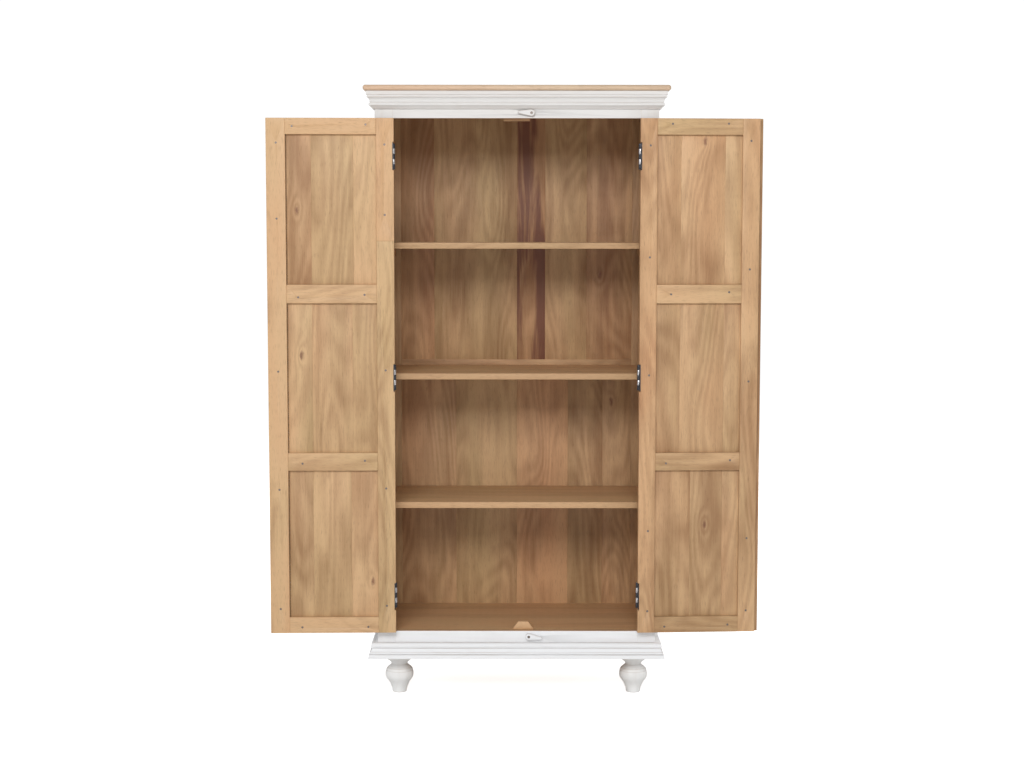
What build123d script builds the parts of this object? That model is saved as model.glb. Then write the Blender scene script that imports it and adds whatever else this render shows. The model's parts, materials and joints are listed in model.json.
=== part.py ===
from build123d import *
import os

# A two-door armoire with a face frame, framed sides and back, three fixed shelves and turned feet.
# Millimetres, +Z up, the doors to -Y.  Depths are counted from the face frame's front, which is 0,
# and a sub-part is moved to the origin, under the middle of the open armoire, when it is written.

# Carcass
TOP = 1800
CAP_THICKNESS = 16
CAP_OVERHANG = 32
CAP_NOSING = 7.5
HALF_WIDTH = 412
DEPTH = 410
ORIGIN_DEPTH = 185
CARCASS_TOP = TOP - CAP_THICKNESS
CARCASS_FOOT = 119.3
FACE_FRAME = 22
HALF_OPENING = 360
OPENING = (198, 1706.5)
BOARD = 20
BACK_FRONT = DEPTH - BOARD
INSIDE = HALF_WIDTH - BOARD
GROOVE = 6
PANEL = 8

# Sides and back, framed like the doors
SIDE_FRONT_STILE = (FACE_FRAME, 52)
SIDE_REAR_STILE = (358, BACK_FRONT)
SIDE_RAILS = [(CARCASS_FOOT, 246.7), (681.8, 733.7), (1171.5, 1225.5), (1658, CARCASS_TOP)]
SIDE_PANEL_SETBACK = 6
BACK_STILE = 362
BACK_RAILS = [(CARCASS_FOOT, 198), (925, 978), (1732, CARCASS_TOP)]
BACK_PANEL_SETBACK = 4
UPPER_BACK_JOINTS = [-258, 2, 90, 220]
LOWER_BACK_JOINTS = [-190, 2, 163, 272]

# Shelves
SHELF = 18
SHELF_FRONT = 48
SHELF_TOPS = {"upper": 1347, "middle": 961, "lower": 576.5}
CLEAT = (15, 25)
CLEAT_DEPTH = (60, 380)

# Feet
FOOT_TOP_RADIUS = 42
FRONT_FOOT = (351.5, 60)
REAR_FOOT = (370, 350)
FOOT_BLOCK = 90
TENON = (12, 30)

# Hinges, whose pins stand just in front of the gap beside each door
HINGE_X = 357.4
HINGE_Y = -4.5
HINGE_HEIGHTS = [307, 953.5, 1596]
HINGE_LENGTH = 75
KNUCKLES = 5
KNUCKLE_GAP = 0.3
BARREL = 4.5
PIN = 2.3
PIN_CLEARANCE = 0.07
LEAF = (0.6, 2.6)
LEAF_REACH = 24.5
LEAF_START = 5
HINGE_SCREW_PLACES = [(11.5, -27), (20, 0), (11.5, 27)]

# Doors, drawn closed in hinge coordinates: X from the pin towards the middle, Y from the pin back
DOOR = (199.5, 1705)
DOOR_EDGE = -1.6
DOOR_FACE = -HINGE_Y
OUTER_LAYER = 12
INNER_LAYER = 10
LAYERS = DOOR_FACE + OUTER_LAYER
DOOR_BACK = LAYERS + INNER_LAYER
OUTER_STILES = (49, 306.4)
OUTER_END = 356.4
DOOR_RAILS = [(199.5, 246.7), (681.8, 733.7), (1171.5, 1225.5), (1658, 1705)]
DOOR_PANEL = 6
REBATE = 8
HINGE_NOTCH = (2.6, 81)
LIP_CLEARANCE = 0.4
LEFT = -1
RIGHT = 1
SIDE_NAMES = {LEFT: "left", RIGHT: "right"}
REST_ANGLE = {LEFT: 178.5, RIGHT: 183.5}
INNER_STILES = {LEFT: (49.5, 311), RIGHT: (47.5, 296)}
INNER_END = {LEFT: 366.4, RIGHT: 346.4}

# Screws of the doors' inner layer: distance from the pin, and height
HINGE_STILE_SCREWS = {
    LEFT: (25, [280, 629, 976, 1427, 1629]),
    RIGHT: (27, [264, 503, 962, 1305, 1627]),
}
MEETING_STILE_SCREWS = {
    LEFT: (337, [272, 626, 973, 1416, 1634]),
    RIGHT: (320, [263, 479, 943, 1270, 1641]),
}
RAIL_SCREWS = {
    LEFT: [(80, 217), (274, 217), (87, 711), (269, 703), (85, 1196), (277, 1189), (79, 1686), (291, 1681)],
    RIGHT: [(78, 217), (266, 221), (79, 703), (268, 711), (90, 1198), (260, 1204), (91, 1689), (254, 1690)],
}
SCREW_LENGTH = 17
SCREW_HEAD = 3.5
SCREW_SHANK = 1.6
SCREW_CONE = 2.2

# Door stops and turn buttons
TOP_STOP = ((-38.7, 37.8), (FACE_FRAME, 40), (1699.7, 1730))
BOTTOM_STOP = ((-12.3, 51.6), (5, 35.2), 23)
STOP_DEPTH = (22.5, 40)
STOP_CLEARANCE = 0.3
BUTTON_HEAD = 10.5
BUTTON_TIP = 4.5
BUTTON_REACH = 40
BUTTON_BACK = 0.4
BUTTON_THICKNESS = 9.6
BUTTON_EDGE = 1.8
TOP_BUTTON = (42.4, 1721.5, 177)
BOTTOM_BUTTON = (36.7, 181.5, -7)
PIVOT_SHANK = 2.2
PIVOT_HEAD = 4.2
PIVOT_CLEARANCE = 0.08
PIVOT_HEAD_THICKNESS = 2
PIVOT_LENGTH = 24


def block(x, y, z):
    """A square board between three pairs of limits."""
    limits = (x, y, z)
    size = [high - low for low, high in limits]
    centre = [(low + high) / 2 for low, high in limits]
    return Pos(*centre) * Box(*size)


def outline(start, *steps):
    """A closed face: each step is a corner, or the middle and the end of an arc."""
    edges = []
    here = start
    for step in steps:
        if isinstance(step[0], tuple):
            edges.append(ThreePointArc(here, step[0], step[1]))
            here = step[1]
        else:
            edges.append(Line(here, step))
            here = step
    edges.append(Line(here, start))
    return Face(Wire(edges))


def less(shape, cutters):
    """The shape with every cutter taken out of it."""
    for cutter in cutters:
        shape = shape - cutter
    return shape


def flipped(shape):
    """The shape on the armoire's other side."""
    return mirror(shape, about=Plane.YZ)


def save(node, shapes):
    """Write one sub-part, whose solids stay separate."""
    solids = [solid for shape in shapes for solid in shape.solids()]
    moved = [Pos(0, -ORIGIN_DEPTH, 0) * solid for solid in solids]
    export_step(Compound(moved), f"parts/{node}.step")


def beside(shape, side):
    """Carry a shape from hinge coordinates to its side of the carcass."""
    placed = shape if side == LEFT else flipped(shape)
    return Pos(side * HINGE_X, HINGE_Y, 0) * placed


def hung(shape, side):
    """Carry a door's piece to the open position in which the armoire rests."""
    return beside(Rot(0, 0, -REST_ANGLE[side]) * shape, side)


def wood_screw(length, head, shank, cone):
    """A countersunk screw, its head's face at the origin and its point down."""
    shape = outline((0, 0), (head, 0), (shank, -cone), (shank, 3 - length), (0, -length))
    return revolve(Plane.XZ * shape, Axis.Z)


def frieze_and_plinth():
    """The face frame's top and bottom rails, before the pivot screws are let in."""
    width = (-HALF_OPENING, HALF_OPENING)
    depth = (0, FACE_FRAME)
    frieze = block(width, depth, (OPENING[1], CARCASS_TOP))
    plinth = block(width, depth, (CARCASS_FOOT, OPENING[0]))
    return frieze, plinth


def moulding(profile):
    """Front, left and right lengths of a moulding, mitred at the front corners."""
    out = CAP_OVERHANG + 8
    front_plane = Plane((0, 0, 0), x_dir=(0, -1, 0), z_dir=(-1, 0, 0))
    front = extrude(front_plane * profile, HALF_WIDTH + out, both=True)
    side_plane = Plane((-HALF_WIDTH, 0, 0), x_dir=(-1, 0, 0), z_dir=(0, 1, 0))
    left = extrude(side_plane * profile, DEPTH, both=True)
    corner = (-HALF_WIDTH, 0)
    outer_corner = (-HALF_WIDTH - out, -out)
    ahead = outline(corner, outer_corner, (-outer_corner[0], -out), (HALF_WIDTH, 0))
    beside_it = outline(corner, outer_corner, (outer_corner[0], DEPTH), (-HALF_WIDTH, DEPTH))
    front = front & extrude(ahead, TOP, dir=(0, 0, 1))
    left = left & extrude(beside_it, TOP, dir=(0, 0, 1))
    return front, left, flipped(left)


def cornice_profile():
    """Fascia, quirk, cove and bead under the cap, as projection and height."""
    return outline(
        (0, CARCASS_TOP), (23, CARCASS_TOP), (23, 1772), (21, 1772), (21, 1765.6),
        ((16, 1760), (14, 1753)), (14, 1748), ((16, 1744.5), (14, 1741)), (7, 1736), (0, 1733),
    )


def base_profile():
    """Bead, quirk and ogee over the plinth's foot, as projection and height."""
    return outline(
        (0, CARCASS_FOOT), (28, CARCASS_FOOT), (25, 131), (22, 131), (22, 137),
        ((17.5, 142), (16, 149)), ((18.6, 153.5), (19, 158)), ((16.8, 162.6), (10, 165)), (0, 165),
    )


def make_cap():
    width = HALF_WIDTH + CAP_OVERHANG
    cap = block((-width, width), (-CAP_OVERHANG, DEPTH), (CARCASS_TOP, TOP))
    back = cap.faces().sort_by(Axis.Y)[-1].edges()
    upright = cap.edges().filter_by(Axis.Z)
    nosed = [edge for edge in cap.edges() if edge not in back and edge not in upright]
    save("cap_board", [fillet(nosed, CAP_NOSING)])


def make_mouldings():
    for name, profile in (("cornice", cornice_profile()), ("base_moulding", base_profile())):
        for part, piece in zip(("front", "left", "right"), moulding(profile)):
            save(f"{name}_{part}", [piece])


def make_side(side):
    """One framed side: two stiles, four rails and three panels held in grooves."""
    outer, inner = -HALF_WIDTH, -INSIDE
    face = (outer, inner)
    height = (CARCASS_FOOT, CARCASS_TOP)
    stiles = [block(face, depth, height) for depth in (SIDE_FRONT_STILE, SIDE_REAR_STILE)]
    between = (SIDE_FRONT_STILE[1], SIDE_REAR_STILE[0])
    rails = [block(face, between, height) for height in SIDE_RAILS]
    thickness = (outer + SIDE_PANEL_SETBACK, outer + SIDE_PANEL_SETBACK + PANEL)
    width = (between[0] - GROOVE, between[1] + GROOVE)
    panels = []
    for below, above in zip(SIDE_RAILS, SIDE_RAILS[1:]):
        panels.append(block(thickness, width, (below[1] - GROOVE, above[0] + GROOVE)))
    groups = {
        "stiles": [less(stile, panels) for stile in stiles],
        "rails": [less(rail, panels) for rail in rails],
        "panels": panels,
    }
    for group, shapes in groups.items():
        placed = shapes if side == LEFT else [flipped(shape) for shape in shapes]
        save(f"side_{SIDE_NAMES[side]}_{group}", placed)


def back_boards(joints, height):
    """The boards of one back panel, side by side."""
    edges = [-BACK_STILE - GROOVE, *joints, BACK_STILE + GROOVE]
    front = BACK_FRONT + BACK_PANEL_SETBACK
    low, high = height[0] - GROOVE, height[1] + GROOVE
    return [block(pair, (front, front + PANEL), (low, high)) for pair in zip(edges, edges[1:])]


def make_back():
    """The framed back: two stiles, three rails and two panels of boards."""
    depth = (BACK_FRONT, DEPTH)
    upper = back_boards(UPPER_BACK_JOINTS, (BACK_RAILS[1][1], BACK_RAILS[2][0]))
    lower = back_boards(LOWER_BACK_JOINTS, (BACK_RAILS[0][1], BACK_RAILS[1][0]))
    stile = block((-HALF_WIDTH, -BACK_STILE), depth, (CARCASS_FOOT, CARCASS_TOP))
    stiles = [stile, flipped(stile)]
    rails = [block((-BACK_STILE, BACK_STILE), depth, height) for height in BACK_RAILS]
    save("back_stiles", [less(piece, upper + lower) for piece in stiles])
    save("back_rails", [less(piece, upper + lower) for piece in rails])
    save("back_panel_upper", upper)
    save("back_panel_lower", lower)


def make_shelves():
    """The bottom board, three shelves and a cleat under each end of each shelf."""
    width = (-INSIDE, INSIDE)
    floor = (OPENING[0] - SHELF, OPENING[0])
    save("bottom_board", [block(width, (FACE_FRAME, BACK_FRONT), floor)])
    cleats = []
    for name, top in SHELF_TOPS.items():
        underside = top - SHELF
        save(f"shelf_{name}", [block(width, (SHELF_FRONT, BACK_FRONT), (underside, top))])
        cleat = block((-INSIDE, CLEAT[0] - INSIDE), CLEAT_DEPTH, (underside - CLEAT[1], underside))
        cleats += [cleat, flipped(cleat)]
    save("shelf_cleats", cleats)


def turned_foot():
    """A turned foot with a bulb, a narrow neck, a flared collar and a tenon on top."""
    ankle, neck = (21.5, 2), (24, 85.5)
    bulb = [ankle, (22.7, 12), (27, 24), (34.5, 36.5), (41.4, 48.8), (41.8, 58), (36.2, 73), neck]
    collar = [neck, (34.2, 97.7), (FOOT_TOP_RADIUS, 107)]
    radius, length = TENON
    tenon_top = CARCASS_FOOT + length
    top = [collar[-1], (FOOT_TOP_RADIUS, CARCASS_FOOT), (radius, CARCASS_FOOT), (radius, tenon_top)]
    foot = Wire([
        Spline(bulb),
        Spline(collar),
        *Polyline(*top, (0, tenon_top), (0, 0), (20, 0), ankle).edges(),
    ])
    return revolve(Plane.XZ * Face(foot), Axis.Z)


def make_feet():
    """Four feet, and the corner blocks under the bottom board that take their tenons."""
    foot = turned_foot()
    block_top = OPENING[0] - SHELF
    blocks = []
    rear_block = BACK_FRONT - FOOT_BLOCK
    for place, (x, y), near in (("front", FRONT_FOOT, FACE_FRAME), ("rear", REAR_FOOT, rear_block)):
        left_foot = Pos(-x, y, 0) * foot
        corner = block((-INSIDE, FOOT_BLOCK - INSIDE), (near, near + FOOT_BLOCK), (CARCASS_FOOT, block_top))
        corner = corner - left_foot
        save(f"foot_{place}_left", [left_foot])
        save(f"foot_{place}_right", [flipped(left_foot)])
        blocks += [corner, flipped(corner)]
    save("foot_blocks", blocks)


def make_stops():
    """The block behind the frieze and the tapered block on the bottom board that the doors meet."""
    width, depth, height = TOP_STOP
    hanging = (TOP_STOP[2][0], OPENING[1])
    clearance = block(width, (FACE_FRAME, FACE_FRAME + STOP_CLEARANCE), hanging)
    save("door_stop_top", [block(width, depth, height) - clearance])
    base, crown, rise = BOTTOM_STOP
    low = OPENING[0]
    wedge = outline((base[0], low), (base[1], low), (crown[1], low + rise), (crown[0], low + rise))
    near, far = STOP_DEPTH
    wedge_plane = Plane((0, near, 0), x_dir=(1, 0, 0), z_dir=(0, -1, 0))
    save("door_stop_bottom", [extrude(wedge_plane * wedge, far - near, dir=(0, 1, 0))])


def hinge_leaf(own, direction, hole):
    """A leaf in hinge coordinates: its plate stands on one side, joined to its own knuckles."""
    near, far = (direction * LEAF[0], direction * LEAF[1])
    plate_x = (min(near, far), max(near, far))
    half = HINGE_LENGTH / 2
    leaf = block(plate_x, (LEAF_START, LEAF_REACH), (-half, half))
    pitch = HINGE_LENGTH / KNUCKLES
    for index in own:
        low = -half + index * pitch + KNUCKLE_GAP / 2
        high = low + pitch - KNUCKLE_GAP
        knuckle = Pos(0, 0, (low + high) / 2) * Cylinder(BARREL, high - low)
        leaf = leaf + knuckle + block(plate_x, (0, LEAF_START), (low, high))
    return leaf - Cylinder(hole, HINGE_LENGTH)


def hinge_screws(direction):
    """The screws of one leaf, with their heads flush with the plate."""
    screw = Rot(0, -90 * direction, 0) * wood_screw(16, 3.2, 1.5, 2)
    return [Pos(direction * LEAF[0], y, z) * screw for y, z in HINGE_SCREW_PLACES]


def at_hinges(shapes):
    """The shapes of one hinge repeated at the three hinges of a door."""
    return [Pos(0, 0, height) * shape for height in HINGE_HEIGHTS for shape in shapes]


def make_front_stile(side, screws):
    stile = block((-HALF_WIDTH, -HALF_OPENING), (0, FACE_FRAME), (CARCASS_FOOT, CARCASS_TOP))
    placed = stile if side == LEFT else flipped(stile)
    save(f"front_stile_{SIDE_NAMES[side]}", [less(placed, screws)])


def make_frame_hinges():
    """The hinge halves on the face frame, with their pins and screws."""
    screws = hinge_screws(-1)
    leaf = less(hinge_leaf((0, 2, 4), -1, PIN), screws)
    pins, all_screws = [], []
    for side, name in SIDE_NAMES.items():
        side_screws = [beside(screw, side) for screw in at_hinges(screws)]
        save(f"hinge_frame_leaves_{name}", [beside(shape, side) for shape in at_hinges([leaf])])
        make_front_stile(side, side_screws)
        pins += [beside(pin, side) for pin in at_hinges([Cylinder(PIN, HINGE_LENGTH)])]
        all_screws += side_screws
    save("hinge_pins", pins)
    save("frame_hinge_screws", all_screws)


def door_screws(side):
    """The screws that hold a door's inner layer to its outer layer."""
    stations = list(RAIL_SCREWS[side])
    for x, heights in (HINGE_STILE_SCREWS[side], MEETING_STILE_SCREWS[side]):
        stations += [(x, height) for height in heights]
    screw = Rot(-90, 0, 0) * wood_screw(SCREW_LENGTH, SCREW_HEAD, SCREW_SHANK, SCREW_CONE)
    return [Pos(x, DOOR_BACK, z) * screw for x, z in stations]


def door_panels():
    """Three panels that lie in the rebates of the outer layer."""
    width = (OUTER_STILES[0] - REBATE, OUTER_STILES[1] + REBATE)
    depth = (LAYERS - DOOR_PANEL, LAYERS)
    panels = []
    for below, above in zip(DOOR_RAILS, DOOR_RAILS[1:]):
        panels.append(block(width, depth, (below[1] - REBATE, above[0] + REBATE)))
    return panels


def door_layer(depth, stiles, end):
    """One layer of a door's frame: its hinge stile, its meeting stile and its rails."""
    inner, outer = stiles
    return {
        "hinge_stile": [block((DOOR_EDGE, inner), depth, DOOR)],
        "meeting_stile": [block((outer, end), depth, DOOR)],
        "rails": [block((inner, outer), depth, height) for height in DOOR_RAILS],
    }


def hinge_notches():
    """The notches in a door's edge that take its hinge leaves."""
    floor, length = HINGE_NOTCH
    depth = (DOOR_FACE, DOOR_BACK)
    return at_hinges([block((DOOR_EDGE, floor), depth, (-length / 2, length / 2))])


def make_door(side):
    """A door of two layers, with its panels, screws and hinge leaves."""
    name = f"door_{SIDE_NAMES[side]}"
    screws = door_screws(side)
    edge_screws = hinge_screws(1)
    leaf = less(hinge_leaf((1, 3), 1, PIN + PIN_CLEARANCE), edge_screws)
    all_edge_screws = at_hinges(edge_screws)
    panels = door_panels()
    cutters = screws + panels
    layers = {
        "outer": door_layer((DOOR_FACE, LAYERS), OUTER_STILES, OUTER_END),
        "inner": door_layer((LAYERS, DOOR_BACK), INNER_STILES[side], INNER_END[side]),
    }
    if side == RIGHT:
        lip = (INNER_END[side], OUTER_END)
        cutters.append(block(lip, (LAYERS - LIP_CLEARANCE, LAYERS), DOOR))
    for layer, pieces in layers.items():
        for piece, shapes in pieces.items():
            fitted = cutters + hinge_notches() + all_edge_screws if piece == "hinge_stile" else cutters
            save(f"{name}_{layer}_{piece}", [hung(less(shape, fitted), side) for shape in shapes])
    save(f"{name}_panels", [hung(panel, side) for panel in panels])
    save(f"{name}_screws", [hung(screw, side) for screw in screws])
    save(f"{name}_hinge_screws", [hung(screw, side) for screw in all_edge_screws])
    save(f"hinge_door_leaves_{SIDE_NAMES[side]}", [hung(shape, side) for shape in at_hinges([leaf])])


def pivot_screw(radius_gain, depth_gain):
    """A turn button's screw, or with gains the hole that clears it, pointing up from its face."""
    head = BUTTON_BACK + BUTTON_THICKNESS - PIVOT_HEAD_THICKNESS
    shank = Pos(0, 0, head - PIVOT_LENGTH / 2) * Cylinder(PIVOT_SHANK + radius_gain, PIVOT_LENGTH)
    low = head - depth_gain
    cap = Pos(0, 0, low) * Cylinder(PIVOT_HEAD + radius_gain, PIVOT_HEAD_THICKNESS + depth_gain,
                                    align=(Align.CENTER, Align.CENTER, Align.MIN))
    return shank + cap


def turn_button(place):
    """A teardrop button and its pivot screw, standing on the face frame's front."""
    x, z, angle = place
    head = CenterArc((0, 0), BUTTON_HEAD, 0, 360)
    tip = CenterArc((BUTTON_REACH - BUTTON_TIP, 0), BUTTON_TIP, 0, 360)
    body = Pos(0, 0, BUTTON_BACK) * extrude(make_hull([head, tip]), BUTTON_THICKNESS)
    body = fillet(body.faces().sort_by(Axis.Z)[-1].edges(), BUTTON_EDGE)
    button = body - pivot_screw(PIVOT_CLEARANCE, PIVOT_CLEARANCE)
    stand = Pos(x, 0, z) * Rot(90, 0, 0) * Rot(0, 0, angle)
    return stand * button, stand * pivot_screw(0, 0)


def make_buttons_and_rails():
    """Both turn buttons, and the face frame's rails that their screws enter."""
    frieze, plinth = frieze_and_plinth()
    top_button, top_screw = turn_button(TOP_BUTTON)
    bottom_button, bottom_screw = turn_button(BOTTOM_BUTTON)
    save("turn_button_top", [top_button])
    save("turn_button_bottom", [bottom_button])
    save("turn_button_screws", [top_screw, bottom_screw])
    save("frieze_rail", [frieze - top_screw])
    save("plinth_rail", [plinth - bottom_screw])


def make_armoire():
    os.makedirs("parts", exist_ok=True)
    make_cap()
    make_mouldings()
    make_side(LEFT)
    make_side(RIGHT)
    make_back()
    make_shelves()
    make_feet()
    make_stops()
    make_frame_hinges()
    make_door(LEFT)
    make_door(RIGHT)
    make_buttons_and_rails()


make_armoire()
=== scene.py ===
import json
import math
import random

import bmesh
import bpy
from mathutils import Matrix, Vector

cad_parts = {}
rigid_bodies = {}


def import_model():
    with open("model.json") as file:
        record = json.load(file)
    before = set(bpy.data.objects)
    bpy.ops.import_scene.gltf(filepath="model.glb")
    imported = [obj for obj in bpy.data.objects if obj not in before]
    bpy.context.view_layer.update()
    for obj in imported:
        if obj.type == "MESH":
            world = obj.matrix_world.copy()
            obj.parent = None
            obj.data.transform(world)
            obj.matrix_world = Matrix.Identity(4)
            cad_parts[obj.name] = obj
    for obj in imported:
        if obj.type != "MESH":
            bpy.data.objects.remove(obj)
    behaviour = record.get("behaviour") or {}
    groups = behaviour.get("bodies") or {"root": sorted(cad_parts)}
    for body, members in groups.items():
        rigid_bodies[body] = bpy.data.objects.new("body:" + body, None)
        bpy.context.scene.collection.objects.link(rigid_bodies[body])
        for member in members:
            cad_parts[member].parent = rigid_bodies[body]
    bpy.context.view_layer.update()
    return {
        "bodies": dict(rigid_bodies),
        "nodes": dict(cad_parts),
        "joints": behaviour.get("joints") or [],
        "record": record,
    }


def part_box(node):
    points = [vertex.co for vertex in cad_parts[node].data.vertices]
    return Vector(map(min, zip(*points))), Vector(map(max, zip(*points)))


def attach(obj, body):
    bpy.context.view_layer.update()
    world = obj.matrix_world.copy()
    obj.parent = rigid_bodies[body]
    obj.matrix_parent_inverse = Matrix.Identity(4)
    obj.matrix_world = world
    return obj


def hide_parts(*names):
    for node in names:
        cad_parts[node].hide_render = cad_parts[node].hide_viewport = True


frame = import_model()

bl_info = {
    "name": "Painted Armoire",
    "version": (1, 0, 0),
    "blender": (4, 5, 0),
    "location": "3D View > Sidebar > Armoire",
    "description": "Finished joinery, hinges, feet and surfaces for a two-door armoire",
    "category": "Add Mesh",
}

MM = 0.001
WELD = 0.00002
SIDES = ("left", "right")
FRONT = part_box("frieze_rail")[0].y
SMOOTH_ANGLE = math.radians(32)
FRAME_EASE = 0.2 * MM


# ---------------------------------------------------------------- properties


def length(name, description, default, low, high):
    """A size in metres that a user can change."""
    return bpy.props.FloatProperty(
        name=name, description=description, default=default, min=low, max=high, unit="LENGTH")


def colour(name, description, default):
    """A colour that a user can change."""
    return bpy.props.FloatVectorProperty(
        name=name, description=description, default=default, subtype="COLOR", size=3, min=0.0, max=1.0)


class ArmoireSizes(bpy.types.PropertyGroup):
    """Sizes that are finish rather than structure."""

    ease: length("Eased edge", "Radius on the edges of the boards", 1.1 * MM, 0.2 * MM, 4 * MM)
    plank_ease: length(
        "Plank edge", "Radius on the edges of boards that are glued side by side", 0.5 * MM, 0.1 * MM, 3 * MM)
    screw_sink: length("Screw depth", "How far the screw heads lie below the wood", 0.3 * MM, 0.0, 2 * MM)
    camera_height: length("Camera height", "Height of the camera over the floor", 1.3765, 0.1, 4.0)
    camera_distance: length("Camera distance", "From the camera to the face frame", 5.0994, 1.0, 20.0)


class ArmoireColours(bpy.types.PropertyGroup):
    """Colours of the woods, the paint and the metal."""

    paint: colour("Paint", "Matt white paint", (0.84, 0.85, 0.865))
    # The paint at the top is a darker, a little warmer grey; the paint mixes into it with height.
    warm_paint: colour(
        "Top paint", "The paint as it looks near the cornice, where it has yellowed", (0.69, 0.675, 0.66))
    foot_paint: colour("Foot paint", "The paint of the turned feet", (0.84, 0.84, 0.83))
    # The rubbed brown also draws the edge line, which in the quirks and grooves is painted shade.
    rubbed: colour("Rubbed edge", "Wood that shows where the paint is rubbed through", (0.36, 0.25, 0.17))
    door_light: colour("Door wood, light", "Lighter figure of the doors' inner side", (0.625, 0.40, 0.215))
    door_dark: colour("Door wood, dark", "Darker figure of the doors' inner side", (0.36, 0.20, 0.095))
    cap_light: colour("Cap wood, light", "Lighter figure of the cap board", (0.64, 0.47, 0.325))
    cap_dark: colour("Cap wood, dark", "Darker figure of the cap board", (0.42, 0.28, 0.18))
    # The inside woods are the doors' wood made darker: painted shade for the dim inside of the carcass.
    inside_light: colour("Inside wood, light", "Lighter figure inside the carcass", (0.56, 0.35, 0.185))
    inside_dark: colour("Inside wood, dark", "Darker figure inside the carcass", (0.30, 0.16, 0.073))
    heart: colour("Heartwood", "Dark red streaks, and the knots", (0.17, 0.065, 0.038))
    steel: colour("Bright steel", "The door leaves of the hinges", (0.80, 0.80, 0.82))
    # Dark steel is the frame knuckles' own finish, and painted shade on all the hinge plates.
    dark_steel_and_shade: colour("Dark steel", "The frame leaves of the hinges and the screws", (0.10, 0.11, 0.13))


# ---------------------------------------------------------------- shading


def place(tree, kind, inputs=None, **settings):
    """Add a node, set its properties, and fill or link its inputs."""
    node = tree.nodes.new(kind)
    for name, value in settings.items():
        setattr(node, name, value)
    for key, value in (inputs or {}).items():
        if isinstance(value, bpy.types.NodeSocket):
            tree.links.new(value, node.inputs[key])
        else:
            node.inputs[key].default_value = value
    return node


def maths(tree, operation, first, second=0.0, clamp=False):
    """One step of arithmetic on values."""
    inputs = {0: first, 1: second}
    return place(tree, "ShaderNodeMath", inputs, operation=operation, use_clamp=clamp).outputs[0]


def stretched(tree, vector, scale):
    """The coordinates, drawn out along the grain."""
    return place(tree, "ShaderNodeVectorMath", {0: vector, 1: scale}, operation="MULTIPLY").outputs[0]


def noise(tree, vector, detail=2.0, roughness=0.5, distortion=0.0):
    """Noise over coordinates that already have their scale."""
    inputs = {
        "Vector": vector, "Scale": 1.0, "Detail": detail, "Roughness": roughness, "Distortion": distortion}
    return place(tree, "ShaderNodeTexNoise", inputs).outputs[0]


def figured(tree, grain, across, along, detail=2.0, roughness=0.5, distortion=0.0):
    """Noise drawn out along the grain, with so many features to the metre across it and along it."""
    return noise(tree, stretched(tree, grain, (across, along, across)), detail, roughness, distortion)


def centred(tree, value, spread):
    """A value from 0 to 1, moved to run both sides of zero and spread."""
    return maths(tree, "MULTIPLY", maths(tree, "SUBTRACT", value, 0.5), spread)


def remap(tree, value, low, high, to_low=0.0, to_high=1.0):
    """Spread one range of a value over another."""
    inputs = {"Value": value, "From Min": low, "From Max": high, "To Min": to_low, "To Max": to_high}
    return place(tree, "ShaderNodeMapRange", inputs).outputs[0]


def mixed(tree, factor, first, second, blend="MIX"):
    """Two colours, mixed by a mask."""
    node = place(tree, "ShaderNodeMix", data_type="RGBA", blend_type=blend)
    for socket, value in zip((node.inputs[0], node.inputs[6], node.inputs[7]), (factor, first, second)):
        if isinstance(value, bpy.types.NodeSocket):
            tree.links.new(value, socket)
        else:
            socket.default_value = value
    return node.outputs[2]


def new_group(name, inputs, outputs):
    """An empty node group with its sockets, and its two end nodes."""
    tree = bpy.data.node_groups.new(name, "ShaderNodeTree")
    for socket, kind in inputs.items():
        tree.interface.new_socket(socket, in_out="INPUT", socket_type=kind)
    for socket, kind in outputs.items():
        tree.interface.new_socket(socket, in_out="OUTPUT", socket_type=kind)
    return tree, tree.nodes.new("NodeGroupInput"), tree.nodes.new("NodeGroupOutput")


KNOT_SWELL = 32 * MM
KNOT_RIM = (7.5 * MM, 13 * MM)
RING_COUNT = 105.0


def grain_group():
    """Wood figure from grain coordinates: X across the board, Y along it, Z through it, in metres."""
    vectors = {"Grain": "NodeSocketVector", "Knot": "NodeSocketVector"}
    names = ("Rings", "Streaks", "Fibres", "Pores", "Blotches", "Tint", "Knot")
    tree, start, end = new_group("wood_grain", vectors, dict.fromkeys(names, "NodeSocketFloat"))
    grain = start.outputs["Grain"]
    to_knot = stretched(tree, start.outputs["Knot"], (1.0, 0.45, 0.0))
    distance = place(tree, "ShaderNodeVectorMath", {0: to_knot}, operation="LENGTH").outputs["Value"]
    swell = maths(tree, "POWER", remap(tree, distance, 0.0, KNOT_SWELL, 1.0, 0.0), 2.0)
    field = figured(tree, grain, across=7.0, along=1.3, detail=1.2, roughness=0.42, distortion=0.25)
    field = maths(tree, "ADD", field, maths(tree, "MULTIPLY", swell, 0.13))
    wander = figured(tree, grain, across=60.0, along=3.0)
    field = maths(tree, "ADD", field, maths(tree, "MULTIPLY", wander, 0.02))
    rings = maths(tree, "SINE", maths(tree, "MULTIPLY", field, RING_COUNT))
    pores = figured(tree, grain, across=1100.0, along=42.0, detail=1.0)
    ragged = figured(tree, grain, across=90.0, along=60.0, detail=3.0, roughness=0.6)
    rim = maths(tree, "ADD", distance, maths(tree, "MULTIPLY", ragged, 12 * MM))
    masks = {
        "Rings": remap(tree, rings, -1.0, 1.0),
        "Streaks": figured(tree, grain, across=22.0, along=1.3, detail=4.0, roughness=0.58, distortion=0.4),
        "Fibres": figured(tree, grain, across=420.0, along=7.0, detail=3.0, roughness=0.65),
        "Pores": remap(tree, pores, 0.60, 0.70),
        "Blotches": figured(tree, grain, across=9.0, along=3.4, detail=2.5, distortion=0.6),
        "Tint": figured(tree, grain, across=7.5, along=1.7, distortion=0.5),
        "Knot": remap(tree, rim, *KNOT_RIM, 1.0, 0.0),
    }
    for name, socket in masks.items():
        tree.links.new(socket, end.inputs[name])


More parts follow.
